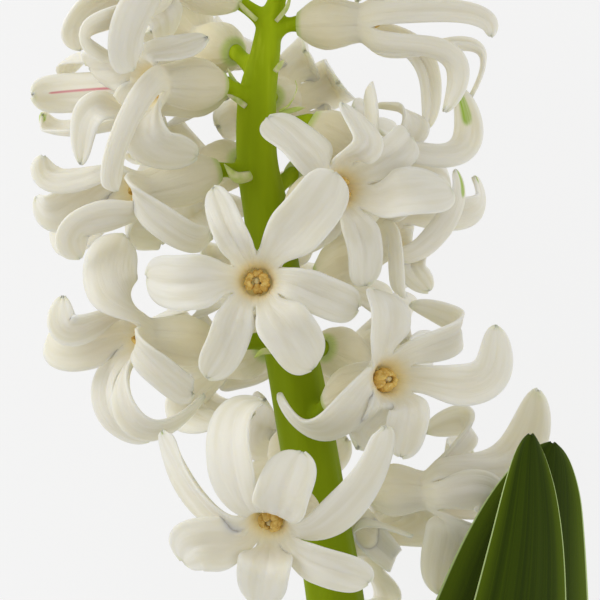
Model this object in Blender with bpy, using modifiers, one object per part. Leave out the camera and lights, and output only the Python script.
"""A cut stem of single white hyacinth, lying on a table.

The stem runs along +Y with its cut end at -Y, and +Z is up. Lengths here are
millimetres, and MM turns them into Blender's metres.
"""

import math

import bmesh
import bpy
import numpy as np
from mathutils import Vector, kdtree

MM = 0.001
TABLE_Z = -31.0                   # the table, below the middle line of the stem

# A floret is six fleshy lobes on one swollen tube.
PETAL_THICKNESS = 0.9
GAP = 0.3                         # clear space between pieces that meet
TUBE_PROFILE = ((0.0, 1.7), (0.18, 3.2), (0.42, 3.95), (0.78, 2.85), (0.88, 2.95), (1.0, 4.3))
RIM_RADIUS = TUBE_PROFILE[-1][1]
RIM_FLARE = math.radians(38)      # how far a lobe leans out where it leaves the rim
WIDE, NARROW, SLIM, STRAP = 4.5, 3.4, 2.7, 2.1   # half widths of lobes
OWN_WIDTHS = 4.2, 3.4             # half widths of the lobes that arch out by themselves
LOBES = 6
FINE_STEPS = 24                   # steps along a lobe's middle line
TUBE_POINTS = 41                  # points along a tube's middle line
TUBE_RINGS = (0, 0.2, 0.5, 0.85, 1)
LOBE_ROWS = (5, 10, 15, 20, 24)

STEM_LINE = (  # x, y, z and radius, from the cut end to the tip
    (17.0, -165.0, -25.4, 5.3), (14.6, -135.0, -18.5, 5.3), (11.6, -105.0, -11.0, 5.2),
    (8.4, -75.0, -4.0, 5.1), (5.8, -50.0, -0.5, 4.9), (3.7, -37.7, 0.0, 4.8),
    (0.9, -22.0, 0.0, 4.8), (-0.8, -12.7, 0.0, 4.6), (-3.3, 0.0, 0.0, 4.3),
    (-5.7, 14.7, 0.0, 3.9), (-7.2, 23.3, 0.0, 3.5), (-7.2, 33.3, 0.0, 3.3),
    (-5.9, 40.5, 0.0, 2.6), (-5.0, 46.0, 0.0, 2.1), (-3.2, 52.0, 0.5, 1.3),
)

# Each floret: the foot of its tube, its mouth, the way the mouth faces, and the
# middle, tip and half width of each lobe that is placed by hand.
FLORETS = {
    "01": ((-11, 50, 1), (-24, 53, 9), (-0.75, -0.35, 0.55), (
        ((-34, 48, 15), (-36.3, 41.5, 12), SLIM),
        ((-32, 45.5, 20), (-30.5, 40, 19), SLIM),
        ((-26.8, 47, 21), (-27.5, 38, 20), NARROW),
        ((-23, 47.5, 9.5), (-22.5, 43, 5), NARROW),
        ((-31.5, 57, 12), (-36, 59, 8), WIDE),
        ((-23, 59, 11), (-25, 64, 8), NARROW))),
    "02": ((-12.5, 36, -4), (-26, 34, -4), (-0.97, 0.05, 0.2), (
        ((-34.5, 35, -1), (-44.5, 34.2, 0), NARROW),
        ((-36, 28.2, -4), (-43.2, 31, -6), NARROW, -45),
        ((-34, 41, -5), (-39.5, 37.5, -9), NARROW),
        ((-27.2, 27.8, -7), (-26.5, 23, -8), NARROW),
        ((-30, 33, -12), (-34, 34, -18), WIDE),
        ((-28, 40, -11), (-30, 43, -16), NARROW))),
    "03": ((-13, 35.8, 5), (-25, 35.5, 11), (-0.8, -0.1, 0.6), (
        ((-23, 41, 12), (-15.3, 43.3, 12), STRAP, 30),
        ((-32, 31.5, 17.5), (-36, 22.5, 13), SLIM, -45),
        ((-28.7, 28.5, 20), (-30.2, 18.2, 17), STRAP),
        ((-24.8, 27.5, 15.5), (-17, 24, 10), WIDE, -70),
        ((-31, 38.5, 8), (-35, 39, 3), WIDE),
        ((-27, 29.5, 6), (-27, 22.7, 2), NARROW))),
    "04": ((-14, 21.5, 3), (-28.5, 17.5, 8), (-0.9, -0.2, 0.4), (
        ((-37.3, 20.3, 9), (-42.5, 23.7, 8), SLIM, -40),
        ((-38, 16.5, 5), (-43.5, 17.3, 3), WIDE),
        ((-22.5, 13.3, 15), (-15.3, 11.4, 12), SLIM, -70),
        ((-34, 12.8, 14), (-36.3, 7, 11), NARROW),
        ((-36.5, 11.5, 0), (-40, 13.3, -4), NARROW),
        ((-26.5, 12, 2), (-23, 9.5, -4), NARROW))),
    "05": ((-14.3, -7.5, 4), (-27.5, -6, 8), (-0.95, 0.05, 0.3), (
        ((-31, 2, 11), (-29.3, 10.8, 8), WIDE, -65),
        ((-35.5, -3.6, 11), (-39.2, 0.6, 10), SLIM, 45),
        ((-35.7, -7, 6), (-41, -5, 4), WIDE),
        ((-32, -16.3, 6), (-25, -23, 4), NARROW),
        ((-27.5, -19, 11), (-16, -15.7, 8), SLIM, -35),
        ((-23.3, -11.3, 14), (-18, -15.3, 12), SLIM, -60))),
    "06": ((-4.5, 0.5, 8), (-7.2, 3.2, 22), (-0.05, 0.05, 1), (
        ((-11.3, 10.8, 25), (-14.2, 18.3, 20), SLIM),
        ((0, 12.5, 26), (5.8, 20.8, 22), WIDE),
        ((2.5, 1.2, 24), (9.5, -1.3, 19), NARROW),
        ((-2.3, -4.5, 25), (2, -11, 20), WIDE),
        ((-11.3, -5, 24), (-15.3, -12.6, 18), NARROW),
        ((-17.5, 3, 25), (-25, 3.7, 18), WIDE))),
    "07": ((0, 46, 1), (12.5, 46, 3), (0.98, -0.05, 0.2), (
        ((21, 50.5, 3), (26, 57, 2), SLIM),
        ((13.5, 53, -1), (9, 57.5, -3), WIDE),
        ((24.3, 48.3, 8), (31.7, 43.8, 7), STRAP),
        ((20, 40, -2), (21, 29, -3), STRAP),
        ((22.3, 41.5, 7), (24, 31.3, 6), STRAP),
        ((25.5, 41.5, 2), (28.3, 34, 1), STRAP))),
    "08": ((2, 29.5, 3), (12.5, 23, 3), (0.85, -0.45, 0.25), (
        ((24.2, 24.7, 4), (26.5, 35, 2), SLIM),
        ((18.5, 29.5, 0), (13.5, 32.5, -4), NARROW, -45),
        ((11.5, 29.3, 8), (11.3, 32.7, 5), SLIM),
        ((19, 20, -1), (25, 18, -5), WIDE),
        ((12.5, 16.5, -3), (14, 13.5, -9), NARROW),
        ((14.5, 25, -5), (18, 26, -11), NARROW))),
    "09": ((-1, 15, 6), (7.2, 18.5, 15), (0.45, 0.1, 0.88), (
        ((0.8, 24.2, 18), (-5.3, 30, 14), WIDE),
        ((10.3, 25, 19), (6.8, 32.3, 14), SLIM, -35),
        ((16.7, 17.2, 17), (25, 18, 11), WIDE),
        ((10, 10, 18), (10.8, 2.2, 16), NARROW),
        ((3.5, 12, 15), (0.5, 8.5, 12), NARROW),
        ((15, 24, 13), (18, 27, 8), NARROW))),
    "10": ((3.5, 4, 2), (16, 10.5, 6), (0.85, 0.3, 0.3), (
        ((25.5, 15.5, -1), (29, 20.5, -3), NARROW),
        ((23.3, 11, 9), (25.7, 21.5, 7), SLIM),
        ((18.7, 6.3, 7), (21.3, 1.7, 3), SLIM),
        ((15.5, 6, 11), (16.7, 2, 8), SLIM),
        ((17, 16, 9), (19, 19.5, 7), NARROW),
        ((17, 8, -1), (19, 6, -7), WIDE))),
    "11": ((5, -17, 7), (15, -13, 15), (0.45, -0.05, 0.88), (
        ((14.2, -4.2, 19), (12, 1.7, 16), WIDE),
        ((28.3, -13.8, 17), (32.3, -4.3, 12), NARROW),
        ((25.3, -5.8, 11), (18.3, -0.8, 8), NARROW),
        ((5.8, -19.2, 16), (-3.3, -15.5, 14), WIDE),
        ((18, -19.2, 16), (16.7, -25.8, 12), NARROW),
        ((11.5, -19.5, 10), (9.5, -24.5, 7), NARROW))),
    "12": ((1.5, -35.5, 8), (-5.3, -37.1, 21), (-0.15, -0.75, 0.65), (
        ((-10.8, -25.8, 25), (-6.3, -17, 20), WIDE),
        ((-3.3, -32.6, 28.5), (0, -25, 25), WIDE),
        ((7.5, -32.5, 22), (13.8, -20.8, 19), WIDE),
        ((3.3, -43.3, 23), (11.2, -46.3, 19), NARROW),
        ((-5.8, -43.5, 21.5), (-7, -50, 17), WIDE),
        ((-14.2, -40, 22), (-19, -43, 18), WIDE),
        ((-17.3, -31.3, 19), (-22.5, -21.7, 15), NARROW))),
    "13": ((11.5, -31.5, 1), (23, -31.5, 3), (0.95, 0.1, 0.25), (
        ((32, -28, 5), (39.5, -15, 3), WIDE),
        ((28, -22, 1), (21, -22, -2), NARROW),
        ((25.5, -39, 2), (23.3, -49, -1), WIDE, -55),
        ((31, -35, -3), (33, -41, -6), NARROW),
        ((25, -28.5, -6), (29, -26, -12), WIDE),
        ((29, -31.5, 8), (31, -38, 4), NARROW))),
    "14": ((-11, 41.5, -4), (-18, 44, -15), (-0.5, 0.3, -0.8), ()),
    "15": ((-5, 34, -8), (-3, 33, -20), (0.1, 0.1, -1), ()),
    "16": ((-10, 23, -6), (-18, 22, -17), (-0.6, 0, -0.8), ()),
    "17": ((-1, 21, -6), (8.5, 20.5, -18), (0.6, -0.1, -0.8), ()),
    "18": ((-5, 6, -9), (-7, 4.5, -20), (-0.2, 0, -1), ()),
    "19": ((-6, -8, -7), (-15, -10, -16), (-0.7, 0, -0.7), ()),
    "20": ((4, -8, -8), (11, -10, -18), (0.6, -0.1, -0.8), ()),
    "21": ((0, -24, -8), (-3, -28, -19), (-0.3, -0.3, -0.9), ()),
    "22": ((7, -37, -7), (13, -41, -16), (0.7, -0.3, -0.7), (
        ((11, -39.3, -9), (18.8, -39.6, -9), SLIM),)),
    "23": ((-4, 56, 4), (-7, 63.5, 12), (-0.2, 0.6, 0.75), ()),
    "24": ((-1, 54, -2), (5, 61, -8), (0.5, 0.6, -0.6), ()),
}


def unit(vector):
    vector = np.asarray(vector, float)
    return vector / np.linalg.norm(vector)


def smooth_step(value):
    value = np.clip(value, 0, 1)
    return value * value * (3 - 2 * value)


def bezier(corners, t):
    """Points on the cubic curve with these four corners, one row for each t."""
    t = np.asarray(t, float)[:, None]
    a, b, c, d = (np.asarray(corner, float) for corner in corners)
    return a * (1 - t) ** 3 + 3 * b * t * (1 - t) ** 2 + 3 * c * t**2 * (1 - t) + d * t**3


def through(points, places):
    """A smooth line through hand-set points (Catmull-Rom), read at places from 0 to 1 of its length."""
    points = np.asarray(points, float)
    ends = np.vstack([2 * points[0] - points[1], points, 2 * points[-1] - points[-2]])
    fine = []
    for place in np.linspace(0, len(points) - 1, 40 * len(points)):
        i = min(int(place), len(points) - 2)
        t = place - i
        a, b, c, d = ends[i:i + 4]
        fine.append(0.5 * (2 * b + (c - a) * t + (2 * a - 5 * b + 4 * c - d) * t**2
                           + (3 * b - a - 3 * c + d) * t**3))
    fine = np.array(fine)
    length = np.append(0, np.cumsum(np.linalg.norm(np.diff(fine[:, :3], axis=0), axis=1)))
    return np.column_stack([np.interp(places, length / length[-1], column) for column in fine.T])


def carry_along(line, first):
    """Directions across a line, carried along it from the first one without twisting."""
    tangents = np.gradient(line, axis=0)
    tangents /= np.linalg.norm(tangents, axis=1)[:, None]
    across = [unit(first - tangents[0] * np.dot(first, tangents[0]))]
    for tangent in tangents[1:]:
        last = across[-1]
        across.append(unit(last - tangent * np.dot(last, tangent)))
    return tangents, np.array(across)


# ---- the florets ----

def axes_of(facing):
    """The way a mouth faces, and two directions square to it."""
    axis = unit(facing)
    side = unit(np.cross((0, 1, 0) if abs(axis[1]) < 0.9 else (0, 0, 1), axis))
    return axis, side, np.cross(axis, side)


def angle_about(floret, point):
    away = point - floret["mouth"]
    return math.atan2(np.dot(away, floret["up"]), np.dot(away, floret["side"]))


def outward(floret, angle):
    return floret["side"] * math.cos(angle) + floret["up"] * math.sin(angle)


OWN_MIDDLE = 8.0, 4.5             # how far such a lobe reaches out, and along the axis
OWN_TIP = 11.0, -4.0
HANDLE = 0.3                      # length of a Bezier handle, as a share of the reach
MOUTH_HANDLE = 0.4
TROUGH = 0.9                      # how deep a lobe is cupped half way along


def own_lobe(floret, angle, width):
    """Middle and tip of a lobe that arches out and back on its own."""
    out = outward(floret, angle)
    mouth, axis = floret["mouth"], floret["axis"]
    middle = mouth + out * OWN_MIDDLE[0] + axis * OWN_MIDDLE[1]
    return middle, mouth + out * OWN_TIP[0] + axis * OWN_TIP[1], width


def grow_floret(name, foot, mouth, facing, placed, turn=0.0):
    """A floret as numbers: its own lobes fill the widest gaps between the placed ones."""
    axis, side, up = axes_of(facing)
    floret = dict(name=name, foot=np.array(foot, float), mouth=np.array(mouth, float),
                  axis=axis, side=side, up=up)
    lobes = [[np.array(mid, float), np.array(tip, float), width, True, *twist]
             for mid, tip, width, *twist in placed]
    while len(lobes) < LOBES:
        angles = sorted(angle_about(floret, lobe[0]) for lobe in lobes) or [turn]
        turns = angles[1:] + [angles[0] + math.tau]
        gap, start = max((b - a, a) for a, b in zip(angles, turns))
        mid, tip, width = own_lobe(floret, start + gap / 2, OWN_WIDTHS[len(lobes) % 2])
        lobes.append([mid, tip, width, False])
    lobes.sort(key=lambda lobe: angle_about(floret, lobe[0]))
    step = math.tau / len(lobes)
    turns = [angle_about(floret, lobe[0]) - i * step for i, lobe in enumerate(lobes)]
    floret["roll"] = math.atan2(sum(map(math.sin, turns)), sum(map(math.cos, turns)))
    floret["step"] = step
    floret["mids"] = np.array([lobe[0] for lobe in lobes])
    floret["tips"] = np.array([lobe[1] for lobe in lobes])
    floret["widths"] = [lobe[2] for lobe in lobes]
    floret["placed"] = [lobe[3] for lobe in lobes]
    floret["twists"] = [math.radians(sum(lobe[4:])) for lobe in lobes]
    return floret


def lobe_frame(floret, i):
    """Middle line of a lobe, with its width and inward directions, half widths and sag."""
    angle = floret["roll"] + i * floret["step"]
    out = outward(floret, angle)
    start = floret["mouth"] + out * RIM_RADIUS
    mid, tip = floret["mids"][i], floret["tips"][i]
    lean = floret["axis"] * math.cos(RIM_FLARE) + out * math.sin(RIM_FLARE)
    reach = np.linalg.norm(mid - start) + np.linalg.norm(tip - mid)
    first = start + lean * reach * HANDLE
    second = (8 * mid - start - 3 * first - tip) / 3
    s = np.linspace(0, 1, FINE_STEPS + 1)
    line = bezier((start, first, second, tip), s)
    tangents, across = carry_along(line, np.cross(floret["axis"], out))
    twist = (floret["twists"][i] * smooth_step(s / 0.6))[:, None]
    across = across * np.cos(twist) + np.cross(tangents, across) * np.sin(twist)
    inward = np.cross(tangents, across)
    half = floret["step"] / 2
    root = RIM_RADIUS * math.sin(half)
    width = root + (floret["widths"][i] - root) * smooth_step((s - 0.06) / 0.58)
    width = width * np.sqrt(1 - 0.9 * np.clip((s - 0.55) / 0.45, 0, 1) ** 3)
    sag = RIM_RADIUS * (1 - math.cos(half)) * (1 - s) + TROUGH * np.sin(math.pi * s) ** 2
    return line, across, inward, width, sag


def lobe_rows(frame, rows, steps):
    """Rows of points across a lobe, each row from edge to edge."""
    line, across, inward, width, sag = frame
    return [[line[k] + across[k] * width[k] * u + inward[k] * sag[k] * u * u for u in steps]
            for k in rows]


def tube_line(floret, count):
    """Middle line of a tube from its foot to its mouth, with the side direction along it."""
    foot, mouth, axis = floret["foot"], floret["mouth"], floret["axis"]
    reach = np.linalg.norm(mouth - foot)
    start = foot + unit(mouth - foot) * reach * HANDLE
    line = bezier((foot, start, mouth - axis * reach * MOUTH_HANDLE, mouth), np.linspace(0, 1, count))
    back = line[::-1]
    _, sides = carry_along(back, floret["side"])
    tangents = np.gradient(line, axis=0)
    tangents /= np.linalg.norm(tangents, axis=1)[:, None]
    tangents[-1] = axis
    return line, tangents, sides[::-1]


def tube_rings(floret, places):
    """Rings of points round a tube, two to a lobe; place 1 is the rim."""
    line, tangents, sides = tube_line(floret, TUBE_POINTS)
    profile = np.array(TUBE_PROFILE)
    angles = floret["roll"] + np.arange(2 * len(floret["mids"])) * floret["step"] / 2
    rings = []
    for place in places:
        k = round(place * (TUBE_POINTS - 1))
        radius = np.interp(place, profile[:, 0], profile[:, 1])
        up = np.cross(tangents[k], sides[k])
        rings.append([line[k] + radius * (sides[k] * math.cos(a) + up * math.sin(a)) for a in angles])
    return rings


# ---- petals that would cross lean aside ----

PETAL_ROOM = 2.1        # clear distance kept between the middles of two petals
ROUNDS = 44
LARGEST_MOVE = 0.8
LEAST_WEIGHT = 0.3      # a lobe end that fewer points press on stays where it is
TUBE_ROOM = 4.6 + PETAL_ROOM / 2
STEM_ROOM = 0.5 + PETAL_ROOM / 2
LEAF_REGION = -70.0     # florets never meet the leaves below this height
PLACED_HOLD = np.array((0.3, 0.3, 1.0))   # a placed lobe gives way mostly in depth
ROOM_ROWS = (7, 9, 11, 13, 15, 17, 19, 21, 24)
ROOM_STEPS = (-1, -0.5, 0, 0.5, 1)
MID_SHARE = np.array([max(0.0, 1 - abs(k / FINE_STEPS - 0.5) / 0.5) for k in ROOM_ROWS])
TIP_SHARE = np.array([smooth_step((k / FINE_STEPS - 0.45) / 0.5) for k in ROOM_ROWS])


def lobe_cloud(floret):
    """Points spread over the lobes of a floret: lobe, row, step, xyz."""
    return np.array([lobe_rows(lobe_frame(floret, i), ROOM_ROWS, ROOM_STEPS)
                     for i in range(len(floret["mids"]))])


def crowding(floret, others):
    """How many points of a floret lie too close to the points of the others."""
    points = lobe_cloud(floret).reshape(-1, 3)
    return sum((np.linalg.norm(points[:, None] - other[None], axis=2) < PETAL_ROOM).sum()
               for other in others)


def grow_all():
    """Every floret; one with no placed lobe turns to where it crowds the others least."""
    florets, clouds = [], []
    for name, shape in FLORETS.items():
        turns = [0.0] if shape[-1] else [math.radians(turn) for turn in range(0, 120, 12)]
        tries = [grow_floret(name, *shape, turn) for turn in turns]
        best = min(tries, key=lambda floret: crowding(floret, clouds) if len(tries) > 1 else 0)
        florets.append(best)
        clouds.append(lobe_cloud(best).reshape(-1, 3))
    return florets


def pushed_off(points, solids, reach):
    """For every point, the sum of the ways it should move to clear round solids."""
    apart = points[:, None] - solids[None]
    distance = np.maximum(np.linalg.norm(apart, axis=2), 1e-3)
    deep = np.maximum(reach - distance, 0)
    return (apart * (deep / distance)[:, :, None]).sum(axis=1)


def pushed_by_petals(clouds):
    """For every point of every floret, the way its close neighbours on other lobes push it."""
    owners = [(a, i, k) for a, cloud in enumerate(clouds) for i in range(len(cloud))
              for k in range(len(ROOM_ROWS)) for _ in ROOM_STEPS]
    points = np.vstack([cloud.reshape(-1, 3) for cloud in clouds])
    tree = kdtree.KDTree(len(points))
    for index, point in enumerate(points):
        tree.insert(point, index)
    tree.balance()
    ways = np.zeros_like(points)
    for index, point in enumerate(points):
        floret, lobe, row = owners[index]
        for near, other, distance in tree.find_range(point, PETAL_ROOM):
            if owners[other][0] == floret:
                if owners[other][1] == lobe or min(row, owners[other][2]) < 1:
                    continue
            away = point - np.array(near)
            ways[index] += away * (0.5 * (PETAL_ROOM - distance) / max(distance, 1e-3))
    return ways


def make_room(florets, leaves):
    """Moves the middles and tips of lobes until petals clear one another and the table."""
    stem = through(STEM_LINE, np.linspace(0.4, 1, 60))
    leaf_points = np.array([point for leaf in leaves for row in leaf for point in row])
    leaf_points = leaf_points[leaf_points[:, 1] > LEAF_REGION]
    tubes = np.array([tube_line(floret, 9)[0][2:] for floret in florets])
    for _ in range(ROUNDS):
        clouds = [lobe_cloud(floret) for floret in florets]
        by_petals = pushed_by_petals(clouds)
        first = 0
        for a, (floret, cloud) in enumerate(zip(florets, clouds)):
            points = cloud.reshape(-1, 3)
            ways = by_petals[first:first + len(points)]
            first += len(points)
            others = np.delete(tubes, a, axis=0).reshape(-1, 3)
            ways += pushed_off(points, others, TUBE_ROOM)
            ways += pushed_off(points, stem[:, :3], stem[None, :, 3] + STEM_ROOM)
            ways += pushed_off(points, leaf_points, PETAL_ROOM)
            low = TABLE_Z + PETAL_THICKNESS / 2 - points[:, 2]
            ways[:, 2] += np.maximum(low, 0) * 1.5
            ways = ways.reshape(cloud.shape).sum(axis=2)
            touched = np.linalg.norm(ways, axis=2) > 0
            for i, placed in enumerate(floret["placed"]):
                hold = PLACED_HOLD if placed else 1.0
                for ends, share in ((floret["mids"], MID_SHARE), (floret["tips"], TIP_SHARE)):
                    weight = (share * touched[i]).sum()
                    if weight > LEAST_WEIGHT:
                        move = (ways[i] * share[:, None]).sum(axis=0) / weight * 0.5
                        ends[i] += np.clip(move, -LARGEST_MOVE, LARGEST_MOVE) * hold


# ---- meshes ----

def new_object(name, mesh, material, home):
    thing = bpy.data.objects.new(name, mesh)
    mesh.materials.append(material)
    mesh.shade_smooth()
    home.objects.link(thing)
    return thing


def thicken(thing, thickness):
    """A Solidify modifier that leaves the drawn surface in the middle of the wall."""
    shell = thing.modifiers.new("Thickness", "SOLIDIFY")
    shell.thickness = thickness * MM
    shell.offset = 0.0


def floret_mesh(floret):
    """The open skin of a floret: tube, closed foot and one strip for each lobe."""
    skin = bmesh.new()
    count = len(floret["mids"])
    rings = [[skin.verts.new(point * MM) for point in ring]
             for ring in tube_rings(floret, TUBE_RINGS)]
    foot = skin.verts.new(floret["foot"] * MM)
    around = 2 * count
    for c in range(around):
        following = (c + 1) % around
        skin.faces.new((foot, rings[0][following], rings[0][c]))
        for lower, upper in zip(rings, rings[1:]):
            skin.faces.new((lower[c], lower[following], upper[following], upper[c]))
    rim = rings[-1]
    for i in range(count):
        last = [rim[2 * i - 1], rim[2 * i], rim[(2 * i + 1) % around]]
        for row in lobe_rows(lobe_frame(floret, i), LOBE_ROWS, (-1, 0, 1)):
            row = [skin.verts.new(point * MM) for point in row]
            for j in (0, 1):
                skin.faces.new((last[j], last[j + 1], row[j + 1], row[j]))
            last = row
    mesh = bpy.data.meshes.new("floret_" + floret["name"])
    skin.to_mesh(mesh)
    skin.free()
    return mesh


ANTHER_PROFILE = ((0.65, 0.5), (0.76, 1.6), (0.9, 1.95), (1.0, 1.3))    # place in the tube, radius


def anther_mesh(floret):
    """Six anthers pressed together in the throat, drawn as one spindle."""
    line, tangents, sides = tube_line(floret, TUBE_POINTS)
    body = bmesh.new()
    rings = []
    for place, radius in ANTHER_PROFILE:
        k = round(place * (TUBE_POINTS - 1))
        up = np.cross(tangents[k], sides[k])
        rings.append([body.verts.new((line[k] + radius * (sides[k] * math.cos(a) + up * math.sin(a))) * MM)
                      for a in (math.tau * c / LOBES for c in range(LOBES))])
    for lower, upper in zip(rings, rings[1:]):
        for c in range(LOBES):
            following = (c + 1) % LOBES
            body.faces.new((lower[c], lower[following], upper[following], upper[c]))
    body.faces.new(rings[0][::-1])
    body.faces.new(rings[-1])
    mesh = bpy.data.meshes.new("anthers_" + floret["name"])
    body.to_mesh(mesh)
    body.free()
    return mesh


# ---- stem and leaves ----

PEDICEL_RADIUS = 1.25
LEAVES = {
    # middle line, then full half width, radius of the fold at the foot, and outer side there
    "leaf_1": (((22.2, -163, -20.4), (25.5, -138, -14.5), (28.7, -100, -4.5), (33.8, -68, 4),
                (37.9, -42, 9.5), (41.7, -23.8, 13)), 16.4, 6.9, (0.77, 0, 0.64)),
    "leaf_2": (((21.9, -161, -17.0), (26, -138, -9.5), (30, -100, 1.5), (34.5, -68, 10.5),
                (37.4, -42, 16.5), (38, -22.3, 19)), 9.5, 9.2, (0.55, 0, 0.83)),
}
LEAF_OUTER_SIDE = (0.25, 0, 0.97)     # the way a leaf's back looks near its tip
LEAF_THICKNESS = 1.1
LEAF_TAPER = 0.73                     # where along a leaf its point begins
LEAF_END = 0.01                       # the share of the point that is left at the very tip
LEAF_FOOT = 0.58                      # width at the foot, as a share of the full width
LEAF_ROWS, LEAF_COLUMNS = 15, 5


def leaf_rows(points, half_width, foot_radius, foot_side, rows, columns):
    """Rows of points across a leaf that wraps the stem at its foot and folds at its tip."""
    places = 1 - (1 - np.linspace(0, 1, rows)) ** 1.5
    line = through(points, places)
    tangents = np.gradient(through(points, np.linspace(0, 1, 201)), axis=0)
    grid = []
    for s, middle in zip(places, line):
        tangent = unit(tangents[round(s * 200)])
        back = np.array(foot_side) * (1 - smooth_step(s * 2)) + np.array(LEAF_OUTER_SIDE) * smooth_step(s * 2)
        back = unit(back - tangent * np.dot(back, tangent))
        across = np.cross(tangent, back)
        left = np.clip((1 - s) / (1 - LEAF_TAPER), LEAF_END, 1)
        width = half_width * (LEAF_FOOT + (1 - LEAF_FOOT) * smooth_step(s / 0.8)) * left**0.45
        radius = foot_radius + 18 * smooth_step(s * 1.6) - 10 * smooth_step((s - 0.7) / 0.3)
        angles = [width / radius * u for u in np.linspace(-1, 1, columns)]
        grid.append([middle + across * radius * math.sin(a) - back * radius * (1 - math.cos(a))
                     for a in angles])
    return grid


def sheet_mesh(name, grid):
    """An open sheet through rows of points."""
    sheet = bmesh.new()
    rows = [[sheet.verts.new(point * MM) for point in row] for row in grid]
    for lower, upper in zip(rows, rows[1:]):
        for j in range(len(lower) - 1):
            sheet.faces.new((lower[j], lower[j + 1], upper[j + 1], upper[j]))
    mesh = bpy.data.meshes.new(name)
    sheet.to_mesh(mesh)
    sheet.free()
    return mesh


def tubes_as_mesh(name, runs, sides):
    """One mesh with a closed round bar for each run of x, y, z and radius."""
    curve = bpy.data.curves.new(name, "CURVE")
    curve.dimensions = "3D"
    curve.bevel_depth = MM
    curve.bevel_resolution = sides // 2 - 2
    curve.use_fill_caps = True
    for run in runs:
        spline = curve.splines.new("POLY")
        spline.points.add(len(run) - 1)
        for point, (x, y, z, radius) in zip(spline.points, run):
            point.co = (x * MM, y * MM, z * MM, 1)
            point.radius = radius
    holder = bpy.data.objects.new(name, curve)
    bpy.context.scene.collection.objects.link(holder)
    bpy.context.view_layer.update()
    graph = bpy.context.evaluated_depsgraph_get()
    mesh = bpy.data.meshes.new_from_object(holder.evaluated_get(graph))
    bpy.data.objects.remove(holder)
    bpy.data.curves.remove(curve)
    body = bmesh.new()
    body.from_mesh(mesh)
    bmesh.ops.remove_doubles(body, verts=body.verts, dist=0.01 * MM)
    bmesh.ops.recalc_face_normals(body, faces=body.faces)
    body.to_mesh(mesh)
    body.free()
    return mesh


def pedicel_run(floret):
    """The short stalk from the stem to the foot of a tube."""
    stem = through(STEM_LINE, np.linspace(0, 1, 400))
    foot = floret["foot"]
    way = unit(floret["mouth"] - foot)
    k = int(np.argmin(np.linalg.norm(stem[:, :3] - (foot - (0, 2.0, 0)), axis=1)))
    centre, radius = stem[k, :3], stem[k, 3]
    side = foot - centre
    side[1] = 0
    start = centre + unit(side) * radius * 0.45
    end = foot - way * (PETAL_THICKNESS / 2 + GAP * 1.5)
    neck = end - way * 0.8
    line = bezier((start, start + unit(side) * radius * 0.8 + np.array((0, 0.8, 0)), neck - way, neck),
                  np.linspace(0, 1, 4))
    radii = (PEDICEL_RADIUS * 1.1, PEDICEL_RADIUS, PEDICEL_RADIUS, 1.3, 1.35)
    return np.column_stack([np.vstack([line, end]), radii])


def make_material(name, colour, roughness):
    material = bpy.data.materials.new(name)
    material.use_nodes = True
    shader = material.node_tree.nodes["Principled BSDF"]
    shader.inputs["Base Color"].default_value = (*colour, 1)
    shader.inputs["Roughness"].default_value = roughness
    shader.inputs["Metallic"].default_value = 0.0
    return material


def new_collection(name):
    home = bpy.data.collections.new(name)
    bpy.context.scene.collection.children.link(home)
    return home


def main():
    for thing in list(bpy.data.objects):
        bpy.data.objects.remove(thing)
    flower = new_collection("hyacinth_flower")
    helpers = new_collection("helpers")
    petal = make_material("petal", (0.86, 0.86, 0.78), 0.45)
    anther = make_material("anther", (0.72, 0.48, 0.12), 0.7)
    stem_green = make_material("stem", (0.18, 0.30, 0.02), 0.4)
    leaf_green = make_material("leaf", (0.03, 0.08, 0.006), 0.35)

    leaf_grids = {name: leaf_rows(*shape, LEAF_ROWS, LEAF_COLUMNS) for name, shape in LEAVES.items()}
    fine_leaves = [leaf_rows(*shape, 60, 9) for shape in LEAVES.values()]
    florets = grow_all()
    make_room(florets, fine_leaves)

    things = []
    for name, grid in leaf_grids.items():
        leaf = new_object(name, sheet_mesh(name, grid), leaf_green, flower)
        thicken(leaf, LEAF_THICKNESS)
        things.append(leaf)
    for floret in florets:
        perianth = new_object("floret_" + floret["name"], floret_mesh(floret), petal, flower)
        thicken(perianth, PETAL_THICKNESS)
        things.append(perianth)
        things.append(new_object("anthers_" + floret["name"], anther_mesh(floret), anther, flower))

    stem_mesh = tubes_as_mesh("flower_stem", [through(STEM_LINE, np.linspace(0, 1, 26))], 10)
    stem = new_object("flower_stem", stem_mesh, stem_green, flower)
    pedicels = new_object(
        "pedicels", tubes_as_mesh("pedicels", [pedicel_run(floret) for floret in florets], 6),
        stem_green, helpers)
    pedicels.hide_render = True
    pedicels.display_type = "WIRE"
    union = stem.modifiers.new("Pedicels", "BOOLEAN")
    union.operation = "UNION"
    union.object = pedicels
    things.append(stem)

    # The whole flower hangs on one empty that stands at the middle of its foot print.
    bpy.context.view_layer.update()
    graph = bpy.context.evaluated_depsgraph_get()
    corners = []
    for thing in things:
        evaluated = thing.evaluated_get(graph)
        corners += [vertex.co.copy() for vertex in evaluated.data.vertices]
    low = Vector([min(corner[axis] for corner in corners) for axis in range(3)])
    high = Vector([max(corner[axis] for corner in corners) for axis in range(3)])
    stand = bpy.data.objects.new("stand", None)
    flower.objects.link(stand)
    stand.location = (-(low.x + high.x) / 2, -(low.y + high.y) / 2, -low.z)
    for thing in [*things, pedicels]:
        thing.parent = stand
    print("box", *(f"{(b - a) / MM:.1f}" for a, b in zip(low, high)),
          "stand", *(f"{v / MM:.2f}" for v in stand.location))


main()
